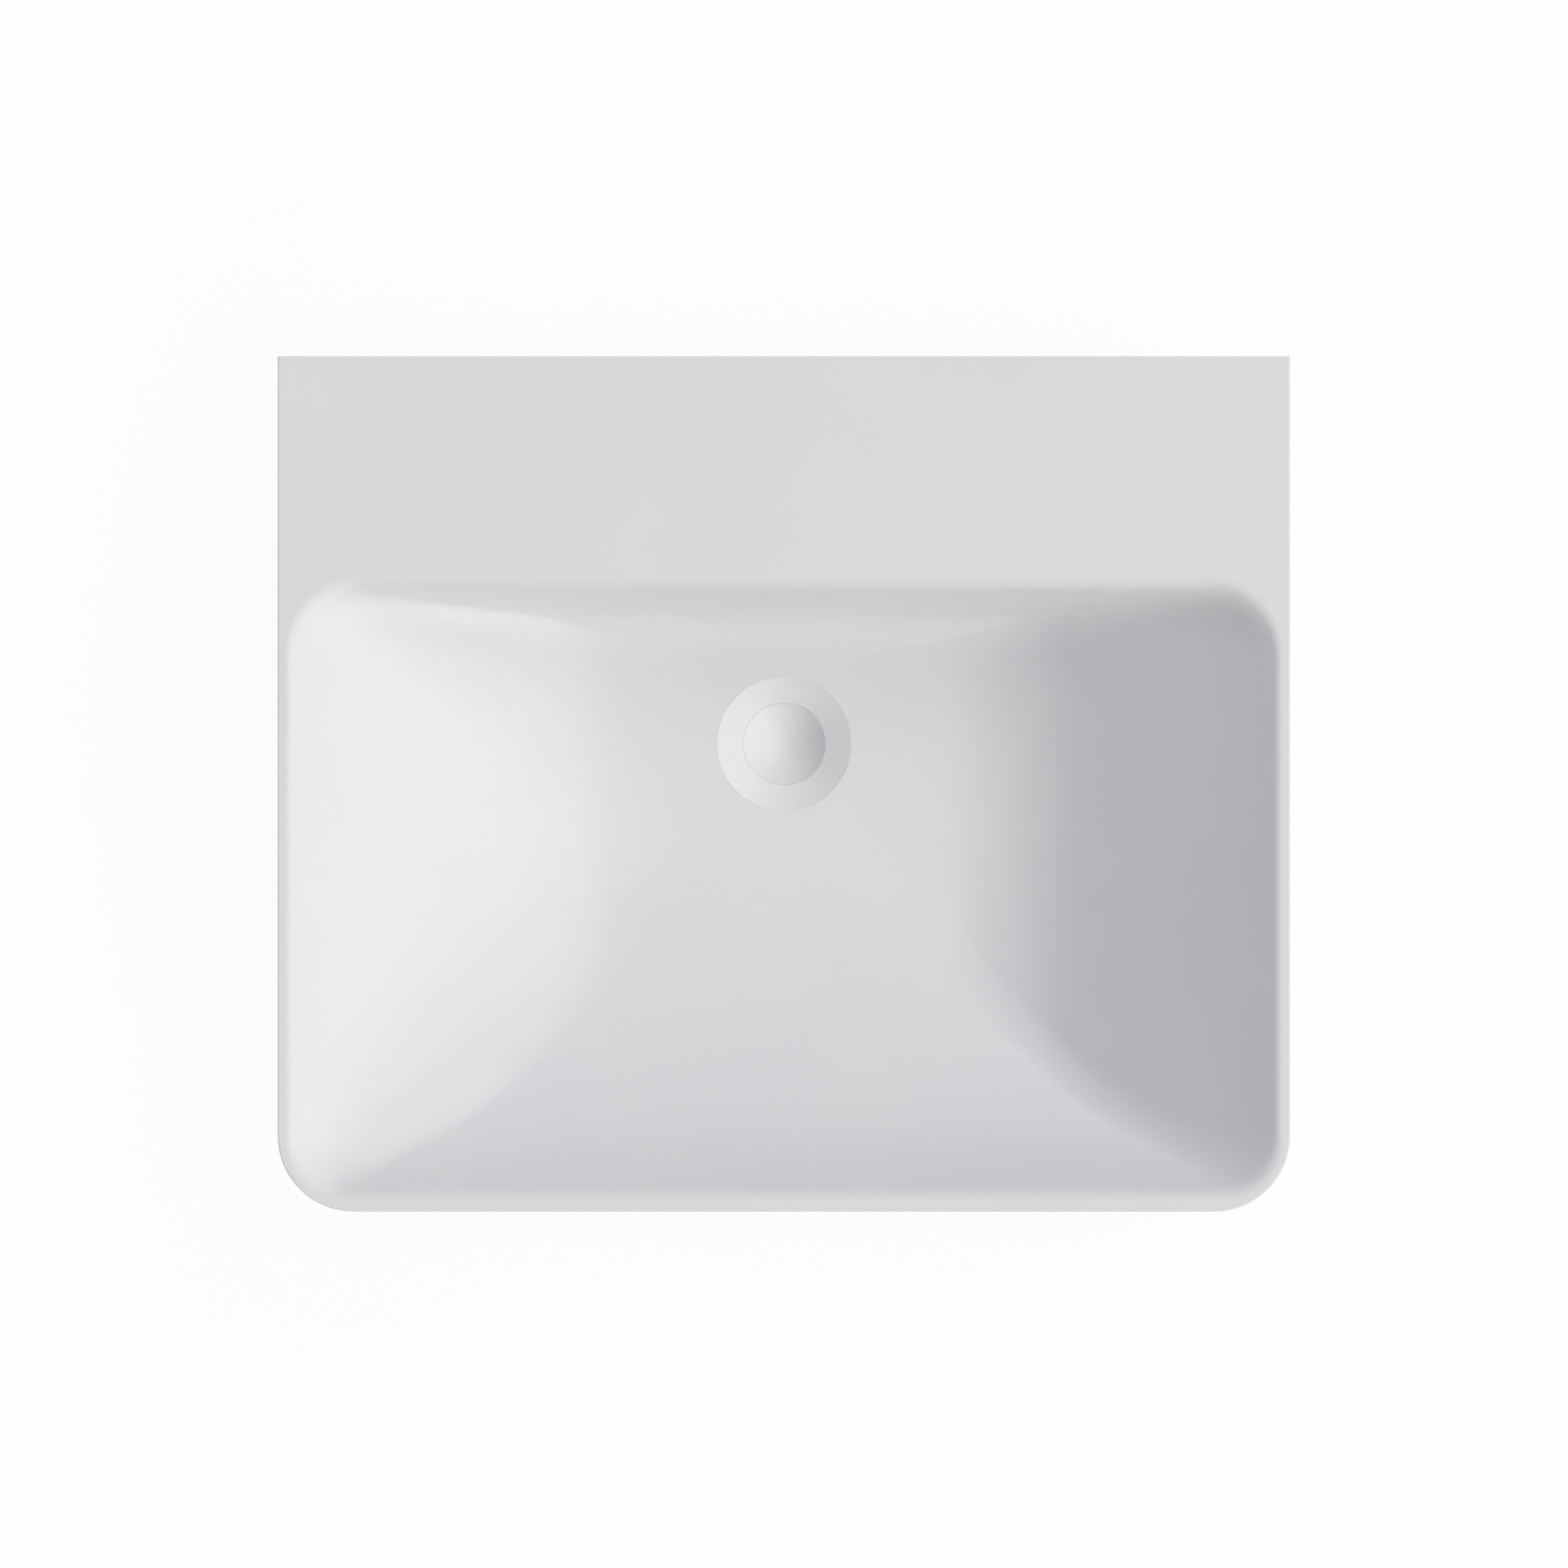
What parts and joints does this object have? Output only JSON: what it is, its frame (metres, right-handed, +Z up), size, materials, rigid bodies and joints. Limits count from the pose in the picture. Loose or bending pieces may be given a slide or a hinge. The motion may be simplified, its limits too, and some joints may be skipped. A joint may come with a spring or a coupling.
{
  "type": "vanity basin",
  "caption": "Wall-backed rectangular white ceramic vanity basin with a flat rear deck, a broad sloping bowl and a dished push-open waste.",
  "frame": {"origin": "midway between the two wall fixings, on the back face", "axes": "+X along the wall to the right as seen from the front, +Y into the wall, +Z up"},
  "size_m": [0.6, 0.507, 0.1925],
  "materials": {
    "ceramic": "matt white glaze",
    "flange_coat": "matt white coat on brass",
    "cap_ceramic": "matt white glaze",
    "brass": "turned",
    "plated": "bright plate on brass",
    "black_rubber": "moulded",
    "grey_fibre": "pressed fibre",
    "white_nylon": "moulded",
    "grey_acetal": "moulded",
    "steel": "turned",
    "spring_steel": "drawn wire"
  },
  "bodies": {
    "basin": {"basin_body": "ceramic", "wall_bushes": "white_nylon", "waste_flange": "flange_coat", "flange_gasket": "black_rubber", "tube_washer": "grey_fibre", "waste_tube": "plated", "lower_gasket": "black_rubber", "slip_washer": "white_nylon", "backnut": "brass", "cartridge_housing": "grey_acetal", "collar_washer": "grey_fibre", "cartridge_end_cap": "grey_acetal", "cartridge_spring": "spring_steel"},
    "plug": {"plug_cap": "cap_ceramic", "plug_carrier": "brass", "plug_seal": "black_rubber", "lock_nut": "steel", "plug_spindle": "steel", "index_rotor": "white_nylon"}
  },
  "joints": [
    {"name": "plug_lift", "type": "slide", "parent": "basin", "child": "plug", "axis": [0, 0, 1], "range_m": [0, 0.009], "deforming": ["cartridge_spring"]}
  ]
}
